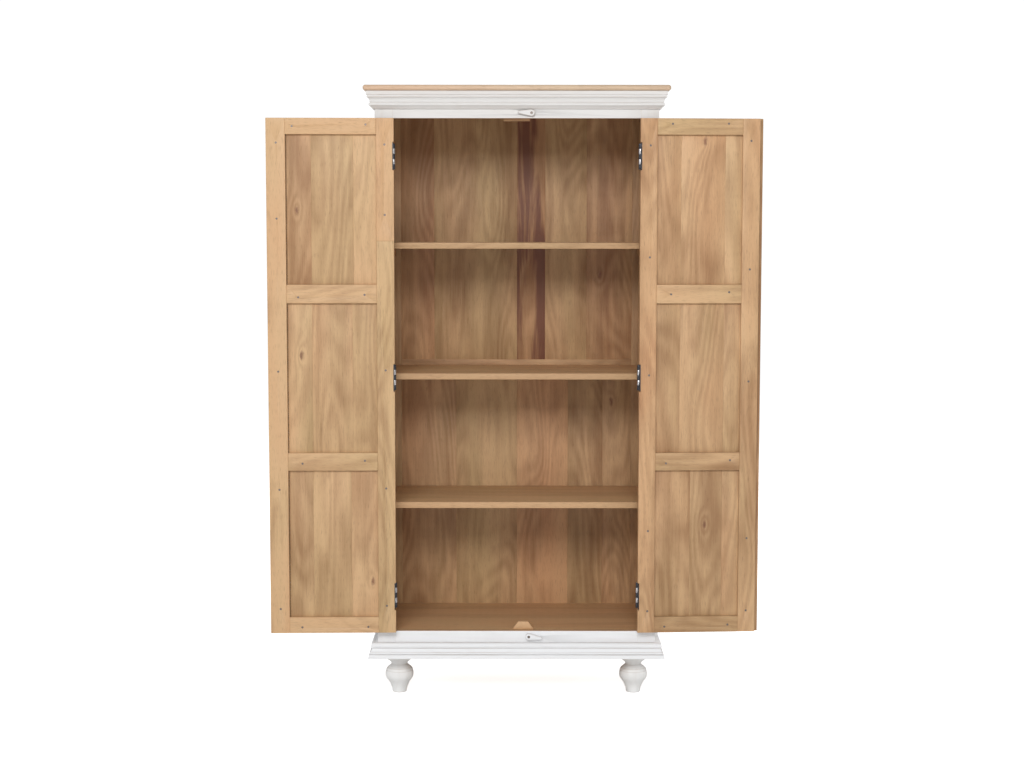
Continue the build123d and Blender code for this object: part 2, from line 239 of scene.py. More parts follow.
def wear_and_shade_group():
    """The edge mask broken up into rubbed chips, which are wear, and a thin brown line along it, which is
    painted shade in the quirks and grooves and wear on eased edges.
    """
    value = "NodeSocketFloat"
    inputs = {"Edge": value, "Grain": "NodeSocketVector", "Amount": value}
    tree, start, end = new_group("edge_wear_and_shade", inputs, {"Rubbed": value, "Line": value})
    grain, edge = start.outputs["Grain"], start.outputs["Edge"]
    broken = figured(tree, grain, across=30.0, along=14.0, detail=5.0, roughness=0.68)
    limit = maths(tree, "SUBTRACT", 0.82, maths(tree, "MULTIPLY", start.outputs["Amount"], 0.45))
    patches = maths(tree, "MULTIPLY", maths(tree, "SUBTRACT", broken, limit), 5.0, clamp=True)
    tree.links.new(maths(tree, "MULTIPLY", patches, edge), end.inputs["Rubbed"])
    thin = remap(tree, figured(tree, grain, across=6.0, along=5.0, detail=3.0), 0.3, 0.68, 0.25, 1.0)
    tree.links.new(maths(tree, "MULTIPLY", thin, edge), end.inputs["Line"])


def new_material(name):
    """The node tree and the shader of a new material."""
    material = bpy.data.materials.new(name)
    material.use_nodes = True
    tree = material.node_tree
    tree.nodes.clear()
    shader = tree.nodes.new("ShaderNodeBsdfPrincipled")
    output = tree.nodes.new("ShaderNodeOutputMaterial")
    tree.links.new(shader.outputs[0], output.inputs[0])
    return tree, shader


def read(tree, name, output="Vector"):
    """An attribute that the boards carry."""
    return place(tree, "ShaderNodeAttribute", attribute_name=name).outputs[output]


def raised(tree, shader, height, distance):
    """Bump the shader by a height."""
    bump = place(tree, "ShaderNodeBump", {"Height": height, "Distance": distance, "Strength": 1.0})
    tree.links.new(bump.outputs[0], shader.inputs["Normal"])


def colour4(colour):
    return (*colour, 1.0)


def figure_of(tree, grain):
    """The masks of the wood figure, from the boards' attributes."""
    inputs = {"Grain": grain, "Knot": read(tree, "knot")}
    return place(tree, "ShaderNodeGroup", inputs, node_tree=bpy.data.node_groups["wood_grain"]).outputs


OLIVE_CAST = (0.83, 0.93, 0.84, 1.0)
PINK_CAST = (1.0, 0.87, 0.83, 1.0)
TARNISH = (0.10, 0.075, 0.06, 1.0)
SCREW_SHADE = 0.16
FLOOR_SHADES = ((0.90, 0.90, 0.90, 1), (0.93, 0.93, 0.93, 1))
FLOOR_GLOW = 0.75


def wood_material(name, light, dark, heart, gloss):
    """Waxed wood whose figure, tone, heartwood and knot come from each board's attributes."""
    tree, shader = new_material(name)
    figure = figure_of(tree, read(tree, "grain"))
    tone, heartwood, hue = place(tree, "ShaderNodeSeparateXYZ", {0: read(tree, "character")}).outputs
    bands = maths(tree, "ADD", centred(tree, figure["Streaks"], 1.35), centred(tree, figure["Rings"], 0.27))
    clouds = maths(tree, "ADD", centred(tree, figure["Blotches"], 1.7), centred(tree, figure["Fibres"], 0.55))
    shade = maths(tree, "ADD", maths(tree, "ADD", bands, clouds), tone, clamp=True)
    body = mixed(tree, shade, colour4(light), colour4(dark))
    tint = maths(tree, "ADD", centred(tree, figure["Tint"], 2.8), hue)
    body = mixed(tree, maths(tree, "MULTIPLY", tint, 0.58, clamp=True), body, OLIVE_CAST, "MULTIPLY")
    body = mixed(tree, maths(tree, "MULTIPLY", tint, -0.7, clamp=True), body, PINK_CAST, "MULTIPLY")
    streak = maths(tree, "MULTIPLY", remap(tree, figure["Streaks"], 0.46, 0.56), heartwood)
    body = mixed(tree, streak, body, colour4(heart))
    body = mixed(tree, maths(tree, "MULTIPLY", figure["Knot"], 0.75), body, colour4(heart))
    pores = maths(tree, "MULTIPLY", figure["Pores"], 0.32)
    body = mixed(tree, pores, body, colour4([c * 0.35 for c in dark]))
    tree.links.new(body, shader.inputs["Base Color"])
    rough = remap(tree, figure["Fibres"], 0.3, 0.7, gloss, gloss + 0.14)
    tree.links.new(rough, shader.inputs["Roughness"])
    height = maths(tree, "SUBTRACT", maths(tree, "MULTIPLY", figure["Fibres"], 0.5), figure["Pores"])
    raised(tree, shader, height, 0.12 * MM)
    shader.inputs["Specular IOR Level"].default_value = 0.35


def paint_material(name, paint, warm, rubbed, wear):
    """Matt paint, darker and a little warmer towards the top, brushed along the grain and rubbed through at
    its edges; its brown edge line is painted shade in the quirks and grooves.
    """
    tree, shader = new_material(name)
    grain = read(tree, "grain")
    figure = figure_of(tree, grain)
    inputs = {"Edge": read(tree, "edge", "Fac"), "Grain": grain, "Amount": wear}
    edge = place(tree, "ShaderNodeGroup", inputs, node_tree=bpy.data.node_groups["edge_wear_and_shade"]).outputs
    coordinates = place(tree, "ShaderNodeTexCoord").outputs["Object"]
    level = place(tree, "ShaderNodeSeparateXYZ", {0: coordinates}).outputs[2]
    # Darker and a little warmer grey from 0.2 m up to 1.7 m.
    body = mixed(tree, remap(tree, level, 0.2, 1.7), colour4(paint), colour4(warm))
    specks = figured(tree, grain, across=75.0, along=22.0, detail=4.0, roughness=0.7)
    veil = maths(tree, "MULTIPLY", remap(tree, figure["Streaks"], 0.50, 0.78), 0.12)
    # The edge line in this veil is painted shade where the edge mask lies in quirks and grooves.
    for mask, strength in ((remap(tree, figure["Rings"], 0.8, 1.0), 0.035),
                           (remap(tree, specks, 0.70, 0.76), 0.16), (edge["Line"], 0.30)):
        veil = maths(tree, "ADD", veil, maths(tree, "MULTIPLY", mask, strength))
    body = mixed(tree, veil, body, colour4(rubbed))
    body = mixed(tree, maths(tree, "MULTIPLY", edge["Rubbed"], 0.6), body, colour4(rubbed))
    tree.links.new(body, shader.inputs["Base Color"])
    tree.links.new(remap(tree, figure["Streaks"], 0.2, 0.8, 0.48, 0.66), shader.inputs["Roughness"])
    height = maths(tree, "ADD", maths(tree, "MULTIPLY", figure["Fibres"], 0.8), figure["Rings"])
    height = maths(tree, "SUBTRACT", height, maths(tree, "MULTIPLY", edge["Rubbed"], 1.5))
    raised(tree, shader, height, 0.10 * MM)


def metal_material(name, colour, roughness, tarnish):
    """Pressed steel with fine drawing lines and dull spots."""
    tree, shader = new_material(name)
    coordinates = place(tree, "ShaderNodeTexCoord").outputs["Object"]
    lines = noise(tree, stretched(tree, coordinates, (2200.0, 2200.0, 90.0)))
    spots = noise(tree, stretched(tree, coordinates, (240.0, 240.0, 240.0)), 4.0, 0.6)
    spots = maths(tree, "MULTIPLY", remap(tree, spots, 0.45, 0.7), tarnish)
    tree.links.new(mixed(tree, spots, colour4(colour), TARNISH), shader.inputs["Base Color"])
    dull = maths(tree, "ADD", remap(tree, lines, 0.3, 0.7, roughness, roughness + 0.16), spots)
    tree.links.new(maths(tree, "MINIMUM", dull, 0.9), shader.inputs["Roughness"])
    shader.inputs["Metallic"].default_value = 0.9
    raised(tree, shader, lines, 0.02 * MM)


def floor_material():
    """A pale studio floor with barely visible mottling, as bright as the backdrop away from the shadows."""
    tree, shader = new_material("studio_floor")
    coordinates = place(tree, "ShaderNodeTexCoord").outputs["Object"]
    mottle = noise(tree, stretched(tree, coordinates, (1.5, 1.5, 1.5)), 3.0)
    tree.links.new(mixed(tree, mottle, *FLOOR_SHADES), shader.inputs["Base Color"])
    shader.inputs["Roughness"].default_value = 0.9
    shader.inputs["Specular IOR Level"].default_value = 0.1
    rays = place(tree, "ShaderNodeLightPath").outputs["Is Camera Ray"]
    shader.inputs["Emission Color"].default_value = (1, 1, 1, 1)
    tree.links.new(maths(tree, "MULTIPLY", rays, FLOOR_GLOW), shader.inputs["Emission Strength"])


def make_materials(colours):
    """Every material of the armoire, once."""
    grain_group()
    wear_and_shade_group()
    wood_material("door_wood", colours.door_light, colours.door_dark, colours.heart, 0.42)
    # Painted shade: the inside of the carcass gets a darker copy of the doors' wood.
    wood_material("inside_wood", colours.inside_light, colours.inside_dark, colours.heart, 0.46)
    wood_material("cap_wood", colours.cap_light, colours.cap_dark, colours.heart, 0.40)
    paint_material("paint", colours.paint, colours.warm_paint, colours.rubbed, 0.25)
    paint_material("foot_paint", colours.foot_paint, colours.foot_paint, colours.rubbed, 0.45)
    metal_material("bright_steel", colours.steel, 0.24, 0.25)
    metal_material("dark_steel_and_shade", colours.dark_steel_and_shade, 0.34, 0.5)
    metal_material("screw_steel", [c * SCREW_SHADE for c in colours.dark_steel_and_shade], 0.6, 0.1)
    floor_material()


# ---------------------------------------------------------------- bench tools


def shut_matrix(body):
    """What turns a body from its rest position to the one in which it is shut."""
    for joint in frame["joints"]:
        if joint["child"] == body and joint["name"].startswith("door"):
            pivot = Matrix.Translation(Vector(joint["pos_m"]))
            turn = Matrix.Rotation(math.radians(joint["range_deg"][1]), 4, Vector(joint["axis"]))
            return pivot @ turn @ pivot.inverted()
    return Matrix.Identity(4)


BODY_OF = {node: body for body, nodes in frame["record"]["behaviour"]["bodies"].items() for node in nodes}
SHUT = {body: shut_matrix(body) for body in frame["bodies"]}


def select_only(*objects):
    """Leave nothing selected but these objects, the first of them active."""
    bpy.ops.object.select_all(action="DESELECT")
    for item in objects:
        item.select_set(True)
    if objects:
        bpy.context.view_layer.objects.active = objects[0]


def edit(piece):
    """Open a piece in edit mode with all of it selected."""
    select_only(piece)
    bpy.ops.object.mode_set(mode="EDIT")
    bpy.ops.mesh.select_all(action="SELECT")


def leave_edit():
    bpy.ops.object.mode_set(mode="OBJECT")


def settle(piece):
    """Put a piece's place into its mesh."""
    select_only(piece)
    bpy.ops.object.transform_apply(location=True, rotation=True, scale=True)


def apply_modifier(piece, kind, **settings):
    """Add a modifier and apply it."""
    select_only(piece)
    modifier = piece.modifiers.new(kind.lower(), kind)
    for name, value in settings.items():
        setattr(modifier, name, value)
    bpy.ops.object.modifier_apply(modifier=modifier.name)


def put(name, data):
    """A new object in the scene."""
    item = bpy.data.objects.new(name, data)
    bpy.context.scene.collection.objects.link(item)
    return item


def block(low, high):
    """A cube at its size and place."""
    select_only()
    bpy.ops.mesh.primitive_cube_add(size=1, location=(low + high) / 2, scale=high - low)
    piece = bpy.context.object
    settle(piece)
    return piece


def ease_edges(piece, offset, segments, clamp=False):
    """Round every edge of a piece."""
    edit(piece)
    bpy.ops.mesh.bevel(offset=offset, segments=segments, affect="EDGES", clamp_overlap=clamp)
    leave_edit()


def ease_rims(piece, offset, segments, back=math.inf):
    """Round the level edges of a piece, but for those at its back."""
    edit(piece)
    bpy.ops.mesh.select_all(action="DESELECT")
    leave_edit()
    for link in piece.data.edges:
        ends = [piece.data.vertices[v].co for v in link.vertices]
        level = abs(ends[0].z - ends[1].z) < WELD
        link.select = level and min(end.y for end in ends) < back - WELD
    bpy.ops.object.mode_set(mode="EDIT")
    bpy.ops.mesh.bevel(offset=offset, segments=segments, affect="EDGES")
    leave_edit()


def face_outwards():
    """Point all faces of the open piece outwards, and close it."""
    bpy.ops.mesh.select_all(action="SELECT")
    bpy.ops.mesh.normals_make_consistent(inside=False)
    leave_edit()


def turned(sides, rings, x=0.0, y=0.0):
    """A turned shape: a disc drawn up and sized ring by ring, each with its radius and height."""
    (radius, height), *others = rings
    select_only()
    start = (x, y, height)
    bpy.ops.mesh.primitive_circle_add(vertices=sides, radius=radius, fill_type="NGON", location=start)
    piece = bpy.context.object
    settle(piece)
    edit(piece)
    for next_radius, next_height in others:
        bpy.ops.mesh.extrude_region_move(TRANSFORM_OT_translate={"value": (0, 0, next_height - height)})
        scale = next_radius / radius
        bpy.ops.transform.resize(value=(scale, scale, 1), center_override=(x, y, next_height))
        radius, height = next_radius, next_height
    face_outwards()
    return piece


def solids_of(node):
    """Both corners of each solid of a node, its door shut, ordered by their x, their z and their y."""
    mesh = bmesh.new()
    mesh.from_mesh(frame["nodes"][node].data)
    bmesh.ops.remove_doubles(mesh, verts=mesh.verts, dist=WELD)
    mesh.transform(SHUT[BODY_OF[node]])
    waiting = set(mesh.verts)
    boxes = []
    while waiting:
        stack = [waiting.pop()]
        corners = []
        while stack:
            vertex = stack.pop()
            corners.append(vertex.co.copy())
            joined = {link.other_vert(vertex) for link in vertex.link_edges} & waiting
            waiting -= joined
            stack.extend(joined)
        low = Vector([min(c[i] for c in corners) for i in range(3)])
        high = Vector([max(c[i] for c in corners) for i in range(3)])
        boxes.append((low, high))
    mesh.free()
    return sorted(boxes, key=lambda box: [round(box[0][axis], 4) for axis in (0, 2, 1)])


def cutter_from(node):
    """A welded copy of a node, to cut with."""
    cutter = put("cutter", frame["nodes"][node].data.copy())
    edit(cutter)
    bpy.ops.mesh.remove_doubles(threshold=WELD)
    leave_edit()
    return cutter


def cutter_box(low, high, matrix):
    """A plain box to cut with."""
    cutter = block(low, high)
    cutter.data.transform(matrix)
    return cutter


def let_in(piece, cutters):
    """Cut each cutter's shape out of a piece."""
    for cutter in cutters:
        apply_modifier(piece, "BOOLEAN", operation="DIFFERENCE", object=cutter, solver="EXACT")


def drop(cutters):
    for cutter in cutters:
        bpy.data.objects.remove(cutter)


def grain_axes(low, high):
    """The axes across, along and through a board, by its sizes."""
    sizes = high - low
    order = sorted(range(3), key=lambda axis: -sizes[axis])
    return order[1], order[0], order[2]


def mark(piece, low, high, body, name, character=(0.0, 0.0), knot=None):
    """Write a board's grain coordinates, character, knot and edge mask as attributes."""
    chance = random.Random(name)
    offset = Vector([chance.uniform(2, 40) for _ in range(3)])
    across, along, through = grain_axes(low, high)
    shut = SHUT[body]
    grain = piece.data.attributes.new("grain", "FLOAT_VECTOR", "POINT")
    knots = piece.data.attributes.new("knot", "FLOAT_VECTOR", "POINT")
    traits = piece.data.attributes.new("character", "FLOAT_VECTOR", "POINT")
    tone, heart, hue = (*character, 0.0)[:3]
    tone += chance.uniform(-0.06, 0.06)
    hue += chance.uniform(-0.25, 0.25)
    for index, vertex in enumerate(piece.data.vertices):
        place_shut = shut @ vertex.co
        local = Vector((place_shut[across], place_shut[along], place_shut[through]))
        grain.data[index].vector = local + offset
        traits.data[index].vector = (tone, heart, hue)
        if knot is None:
            knots.data[index].vector = (9.0, 9.0, 0.0)
        else:
            centre = Vector((knot[0], 0.0, knot[1]))
            away = place_shut - centre
            knots.data[index].vector = (away[across], away[along], 0.0)
    edges = piece.data.attributes.new("edge", "FLOAT", "FACE")
    turn = shut.to_3x3()
    for index, face in enumerate(piece.data.polygons):
        normal = turn @ face.normal
        edges.data[index].value = float(max(abs(c) for c in normal) < 0.98)


def board(low, high, body, name, ease, cutters=(), **marks):
    """A board with eased edges: a cube at its size, bevelled, turned with its body, cut and marked."""
    piece = block(low, high)
    ease_edges(piece, ease, 3)
    piece.data.transform(SHUT[body].inverted())
    let_in(piece, cutters)
    mark(piece, low, high, body, name, **marks)
    return piece


def joined(parts):
    """One mesh from all the parts."""
    select_only(*parts)
    if len(parts) > 1:
        bpy.ops.object.join()
    return parts[0]


def hand_over(piece, node):
    """Name the piece that replaces a node, smooth it and put it on its body."""
    piece.name = f"{node}_finished"
    piece.data.name = piece.name
    select_only(piece)
    bpy.ops.object.shade_smooth_by_angle(angle=SMOOTH_ANGLE)
    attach(piece, BODY_OF[node])
    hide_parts(node)


def finish_piece(parts, node, slot, materials, rule=None):
    """Join the parts of a node and give the piece its materials, by the rule if there is one."""
    piece = joined(parts)
    piece.data.materials.clear()
    for material in materials:
        piece.data.materials.append(bpy.data.materials[material])
    turn = SHUT[BODY_OF[node]].to_3x3()
    for face in piece.data.polygons:
        face.material_index = rule(turn @ face.normal) if rule else 0
    hand_over(piece, node)


def paint_outside(direction):
    """A rule that paints what faces a direction, and leaves the rest bare."""
    return lambda normal: 0 if normal.dot(Vector(direction)) > 0.2 else 1


def paint_not(direction):
    """A rule that leaves only what faces a direction bare."""
    return lambda normal: 1 if normal.dot(Vector(direction)) > 0.7 else 0


def board_piece(node, slot, materials, rule=None, cutters=(), ease=None, characters=None):
    """A node made of boards, rebuilt board by board."""
    characters = characters or {}
    ease = ease or bpy.context.scene.armoire_sizes.ease
    solids = solids_of(node)
    if node in SPLICES:
        height, traits = SPLICES[node]
        low, high = solids[0]
        solids = [(low, Vector((high.x, high.y, height))), (Vector((low.x, low.y, height)), high)]
        characters = {**characters, 1: traits}
    parts = []
    for index, (low, high) in enumerate(solids):
        traits = characters.get(index, (0.0, 0.0))
        parts.append(board(low, high, BODY_OF[node], f"{node}_{index}", ease, cutters, character=traits))
    finish_piece(parts, node, slot, materials, rule)


def glued_boards(name, body, low, high, joints, characters, knots, reverse=False):
    """Boards glued side by side between two corners, parted at the joints."""
    ease = bpy.context.scene.armoire_sizes.plank_ease
    edges = sorted([low.x, high.x, *joints])
    spans = list(zip(edges, edges[1:]))
    if reverse:
        spans.reverse()
    parts = []
    for index, (left, right) in enumerate(spans):
        corner, far = Vector((left, low.y, low.z)), Vector((right, high.y, high.z))
        traits, knot = characters[index], knots.get(index)
        parts.append(board(corner, far, body, f"{name}_{index}", ease, character=traits, knot=knot))
    return parts


# ---------------------------------------------------------------- carcass


MOULDING_HALF = 412 * MM
MOULDING_BACK = FRONT + 410 * MM
QUIRKS = (1783.7, 1772, 1766, 1750.6, 1740.2, 1735, 165, 148.8, 137.4, 131, 120)


def arc(start, via, end, steps):
    """Points of the arc through three points, without its start."""
    (ax, ay), (bx, by), (cx, cy) = start, via, end
    d = 2 * (ax * (by - cy) + bx * (cy - ay) + cx * (ay - by))
    squares = [ax * ax + ay * ay, bx * bx + by * by, cx * cx + cy * cy]
    ux = (squares[0] * (by - cy) + squares[1] * (cy - ay) + squares[2] * (ay - by)) / d
    uy = (squares[0] * (cx - bx) + squares[1] * (ax - cx) + squares[2] * (bx - ax)) / d
    radius = math.hypot(ax - ux, ay - uy)
    angles = [math.atan2(y - uy, x - ux) for x, y in (start, via, end)]
    sweep = (angles[2] - angles[0]) % (2 * math.pi)
    if (angles[1] - angles[0]) % (2 * math.pi) > sweep:
        sweep -= 2 * math.pi
    turned = [angles[0] + sweep * step / steps for step in range(1, steps + 1)]
    return [(ux + radius * math.cos(a), uy + radius * math.sin(a)) for a in turned]


def cornice_profile():
    """Projection and height in millimetres, from the top of the fascia down to the frieze."""
    points = [(0, 1784), (22.4, 1784), (23, 1783.4), (23, 1772.8), (22.4, 1772)]
    points += [(20.8, 1771.6), (20.4, 1769.5), (21, 1767.6), (21, 1765.6)]
    points += arc((21, 1765.6), (15.6, 1760), (13.8, 1752.5), 9)
    points += [(12.0, 1751.4), (12.0, 1750.0), (13.4, 1749.2)]
    points += arc((13.4, 1749.2), (16, 1744.8), (13.6, 1741), 8)
    points += [(11.6, 1740.6), (11.4, 1739.4), (7, 1736), (6.4, 1733.6), (0, 1733)]
    return points


def base_profile():
    """Projection and height in millimetres, from the plinth's face down to its foot."""
    points = [(0, 165), (9.4, 165)]
    points += arc((9.4, 165), (16.4, 163), (19, 158), 8)
    points += arc((19, 158), (18.4, 153), (16, 149.6), 4)
    points += [(14.0, 149.2), (14.0, 148.2), (15.6, 147.6)]
    points += arc((15.6, 147.6), (17.4, 142), (21.6, 137.8), 7)
    points += [(22.2, 137), (22.2, 132.6), (20.2, 131.8), (20.2, 130.8), (24.6, 130.6), (25.4, 130)]
    points += [(28, 120), (27.4, 119.3), (0, 119.3)]
    return points


def moulding_ends(profile, run):
    """The two end loops of one mitred length: front, left or right."""
    loops = []
    for end in (0, 1):
        loop = []
        for projection, height in profile:
            out = projection * MM
            if run == "front":
                x = (MOULDING_HALF + out) * (1 if end else -1)
                loop.append(Vector((x, FRONT - out, height * MM)))
            else:
                hand = -1 if run == "left" else 1
                y = MOULDING_BACK if end else FRONT - out
                loop.append(Vector((hand * (MOULDING_HALF + out), y, height * MM)))
        loops.append(loop)
    return loops


EDGE_NEAR = 0.9 * MM
NOSING = 7.4 * MM


def moulding(node, profile, run):
    """A mitred length of moulding: its two ends, bridged and capped."""
    first, second = moulding_ends(profile, run)
    count = len(profile)
    mesh = bpy.data.meshes.new(node)
    edges = [(i, (i + 1) % count) for i in range(count)]
    edges += [(count + a, count + b) for a, b in edges]
    mesh.from_pydata(first + second, edges, [])
    piece = put(node, mesh)
    edit(piece)
    bpy.ops.mesh.bridge_edge_loops()
    bpy.ops.mesh.select_all(action="DESELECT")
    bpy.ops.mesh.select_non_manifold()
    bpy.ops.mesh.edge_face_add()
    face_outwards()
    mark(piece, *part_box(node), BODY_OF[node], node)
    wear = piece.data.attributes["edge"]
    # Faces at the quirks carry the edge mask: its line there is painted shade in the creases, its chips are
    # wear.
    for index, face in enumerate(piece.data.polygons):
        near = min(abs(face.center.z - height * MM) for height in QUIRKS)
        wear.data[index].value = float(near < EDGE_NEAR and len(face.vertices) == 4)
    finish_piece([piece], node, "white_paint", ["paint"])


def cap_board():
    """The top board: a slab with a nosing round its front and its sides."""
    low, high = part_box("cap_board")
    piece = block(low, high)
    ease_rims(piece, NOSING, 7, back=high.y)
    mark(piece, low, high, "carcass", "cap_board", character=(0.12, 0.0))
    finish_piece([piece], "cap_board", "bare_wood", ["cap_wood"])


class ARMOIRE_OT_top(bpy.types.Operator):
    """Make the cap board and the mitred mouldings under it and round the plinth"""

    bl_idname = "armoire.top"
    bl_label = "Cap and Mouldings"

    def execute(self, context):
        cap_board()
        for run in ("front", *SIDES):
            moulding(f"cornice_{run}", cornice_profile(), run)
            moulding(f"base_moulding_{run}", base_profile(), run)
        return {"FINISHED"}


class ARMOIRE_OT_face_frame(bpy.types.Operator):
    """Make the face frame, painted outside and bare on its inner edges"""

    bl_idname = "armoire.face_frame"
    bl_label = "Face Frame"

    def execute(self, context):
        screws = cutter_from("turn_button_screws")
        hinge_screws = cutter_from("frame_hinge_screws")
        finish = ("white_paint", ["paint", "inside_wood"])
        for node in ("frieze_rail", "plinth_rail"):
            board_piece(node, *finish, paint_outside((0, -1, 0)), [screws], FRAME_EASE)
        for side, hand in zip(SIDES, (-1, 1)):
            board_piece(f"front_stile_{side}", *finish, paint_not((-hand, 0, 0)), [hinge_screws], FRAME_EASE)
        drop([screws, hinge_screws])
        return {"FINISHED"}


class ARMOIRE_OT_sides(bpy.types.Operator):
    """Make the framed sides, painted outside"""

    bl_idname = "armoire.sides"
    bl_label = "Sides"

    def execute(self, context):
        finish = ("white_paint", ["paint", "inside_wood"])
        for side, hand in zip(SIDES, (-1, 1)):
            rule = paint_outside((hand, 0, 0))
            panels = cutter_from(f"side_{side}_panels")
            for part in ("stiles", "rails"):
                board_piece(f"side_{side}_{part}", *finish, rule, [panels])
            board_piece(f"side_{side}_panels", *finish, rule)
            drop([panels])
        return {"FINISHED"}


# A board's character is its tone, lighter below zero, then its heartwood and its hue, olive over zero.
# The back boards' tones differ as the planks do, and sit a step darker: painted shade for the back of the
# carcass.
BACK_BOARDS = {
    "back_panel_upper": [
        (0.52, 0.0, -0.7), (0.46, 0.0, 0.75), (0.62, 0.95, -0.6), (0.40, 0.0, 0.3), (0.66, 0.14, -0.1)],
    "back_panel_lower": [
        (0.40, 0.0, -0.2), (0.34, 0.0, 0.7), (0.2, 0.0, -0.6), (0.48, 0.1, 0.5), (0.42, 0.12, 0.0)],
}
BACK_JOINTS = {"back_panel_upper": (-258, 2, 90, 220), "back_panel_lower": (-190, 2, 163, 272)}
BACK_KNOTS = {"back_panel_upper": {4: (0.262, 1.245)}, "back_panel_lower": {4: (0.300, 0.845)}}
BACK_FRAME = {"back_stiles": {0: (0.55, 0), 1: (0.5, 0)}, "back_rails": {1: (0.3, 0)}}
# Inside pieces take the darker inside wood, painted shade for the dim inside of the carcass.
INSIDE = ("interior_wood", ["inside_wood"])


class ARMOIRE_OT_back(bpy.types.Operator):
    """Make the framed back and the boards of its two panels"""

    bl_idname = "armoire.back"
    bl_label = "Back"

    def execute(self, context):
        panels = [cutter_box(*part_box(node), Matrix()) for node in BACK_BOARDS]
        for node, characters in BACK_FRAME.items():
            board_piece(node, *INSIDE, cutters=panels, characters=characters)
        for node, characters in BACK_BOARDS.items():
            joints = [joint * MM for joint in BACK_JOINTS[node]]
            parts = glued_boards(node, BODY_OF[node], *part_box(node), joints, characters, BACK_KNOTS[node])
            finish_piece(parts, node, *INSIDE)
        drop(panels)
        return {"FINISHED"}


# Lighter tones for the bottom board and the shelves: painted light on their tops, which lie in the shade of
# the board above.
SHELF_PAINTED_LIGHT_TONES = {"bottom_board": -0.5, "shelf_upper": -0.1, "shelf_middle": -0.3, "shelf_lower": -0.35}


class ARMOIRE_OT_shelves(bpy.types.Operator):
    """Make the bottom board, the shelves, their cleats and the blocks over the feet"""

    bl_idname = "armoire.shelves"
    bl_label = "Shelves"

    def execute(self, context):
        for node, tone in SHELF_PAINTED_LIGHT_TONES.items():
            board_piece(node, *INSIDE, characters={0: (tone, 0.15)})
        board_piece("shelf_cleats", *INSIDE)
        tenons = [cutter_from(node) for node in FEET]
        board_piece("foot_blocks", *INSIDE, cutters=tenons)
        drop(tenons)
        return {"FINISHED"}


# Radius and height in millimetres, from the floor up.
FOOT_PROFILE = [
    (20.2, 0.0), (21.2, 0.9), (21.6, 3.0), (22.0, 7.0), (22.7, 12.0), (24.8, 18.0), (27.2, 24.0),
    (30.4, 30.5), (34.6, 36.5), (38.6, 42.5), (41.2, 48.0), (42.0, 53.5), (41.9, 59.0), (41.2, 63.4),
    (40.5, 65.9), (39.5, 66.8), (39.9, 68.0), (39.0, 71.2), (36.8, 74.0), (35.2, 74.8), (34.9, 76.2),
    (32.6, 78.2), (28.4, 81.6), (25.0, 84.3), (24.0, 86.2), (24.3, 88.6), (26.6, 92.0), (31.0, 96.0),
    (36.2, 99.6), (40.0, 103.2), (41.8, 107.5), (42.0, 112.0), (42.0, 119.3),
]
FOOT_SIDES = 72
FOOT_TENON = [(12.0, 119.3), (12.0, 148.3), (11.0, 149.3)]
FOOT_GROOVES = (66.4, 74.6, 86.0)
FEET = [f"foot_{row}_{side}" for row in ("front", "rear") for side in SIDES]
GROOVE_SHADE_AND_WEAR = 0.8


class ARMOIRE_OT_feet(bpy.types.Operator):
    """Make the four turned feet"""

    bl_idname = "armoire.feet"
    bl_label = "Feet"

    def execute(self, context):
        rings = [(radius * MM, height * MM) for radius, height in FOOT_PROFILE + FOOT_TENON]
        for node in FEET:
            low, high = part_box(node)
            centre = (low + high) / 2
            piece = turned(FOOT_SIDES, rings, centre.x, centre.y)
            mark(piece, low, high, "carcass", node)
            groove_shade_and_wear = piece.data.attributes["edge"]
            for index, face in enumerate(piece.data.polygons):
                z = face.center.z
                # The grooves take the edge mask as painted shade in the creases; the rim at the floor takes
                # it as wear.
                groove = any(abs(z - at * MM) < 1.4 * MM for at in FOOT_GROOVES)
                groove_shade_and_wear.data[index].value = GROOVE_SHADE_AND_WEAR if groove or z < 3 * MM else 0.0
            finish_piece([piece], node, "white_paint", ["foot_paint"])
        return {"FINISHED"}


STOP_CROWN = (5 * MM, 35.2 * MM)
STOP_CLEARANCE = (21 * MM, 22.3 * MM)
STOP_CLEAR_TOP = 1706.5 * MM


class ARMOIRE_OT_stops(bpy.types.Operator):
    """Make the two door stops"""

    bl_idname = "armoire.stops"
    bl_label = "Door Stops"

    def execute(self, context):
        low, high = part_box("door_stop_top")
        clear_low = Vector((low.x - WELD, FRONT + STOP_CLEARANCE[0], low.z - MM))
        clear_high = Vector((high.x + WELD, FRONT + STOP_CLEARANCE[1], STOP_CLEAR_TOP))
        clearance = cutter_box(clear_low, clear_high, Matrix())
        traits = {0: (0.3, 0)}
        board_piece("door_stop_top", "interior_wood", ["door_wood"], None, [clearance], characters=traits)
        drop([clearance])
        low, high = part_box("door_stop_bottom")
        piece = block(low, high)
        for vertex in piece.data.vertices:
            if vertex.co.z > high.z - WELD:
                vertex.co.x = STOP_CROWN[0] if vertex.co.x < (low.x + high.x) / 2 else STOP_CROWN[1]
        ease_edges(piece, 1.4 * MM, 3)
        mark(piece, low, high, "carcass", "door_stop_bottom", character=(-0.1, 0))
        finish_piece([piece], "door_stop_bottom", "bare_wood", ["door_wood"])
        return {"FINISHED"}


# ---------------------------------------------------------------- doors


HINGE_X = 357.4 * MM
HINGE_PIN_Y = FRONT - 4.5 * MM
NOTCH_HALF = 40.5 * MM
NOTCH_EDGES = (-6 * MM, 2.6 * MM)
NOTCH_DEPTHS = (-20 * MM, 40 * MM)
LIP_END = 346.4 * MM
LIP_WIDTH = 30 * MM
LIP_BACK = 16.5 * MM
LIP_RELIEF = 0.4 * MM
LIP_HEIGHTS = (0.1, 1.75)
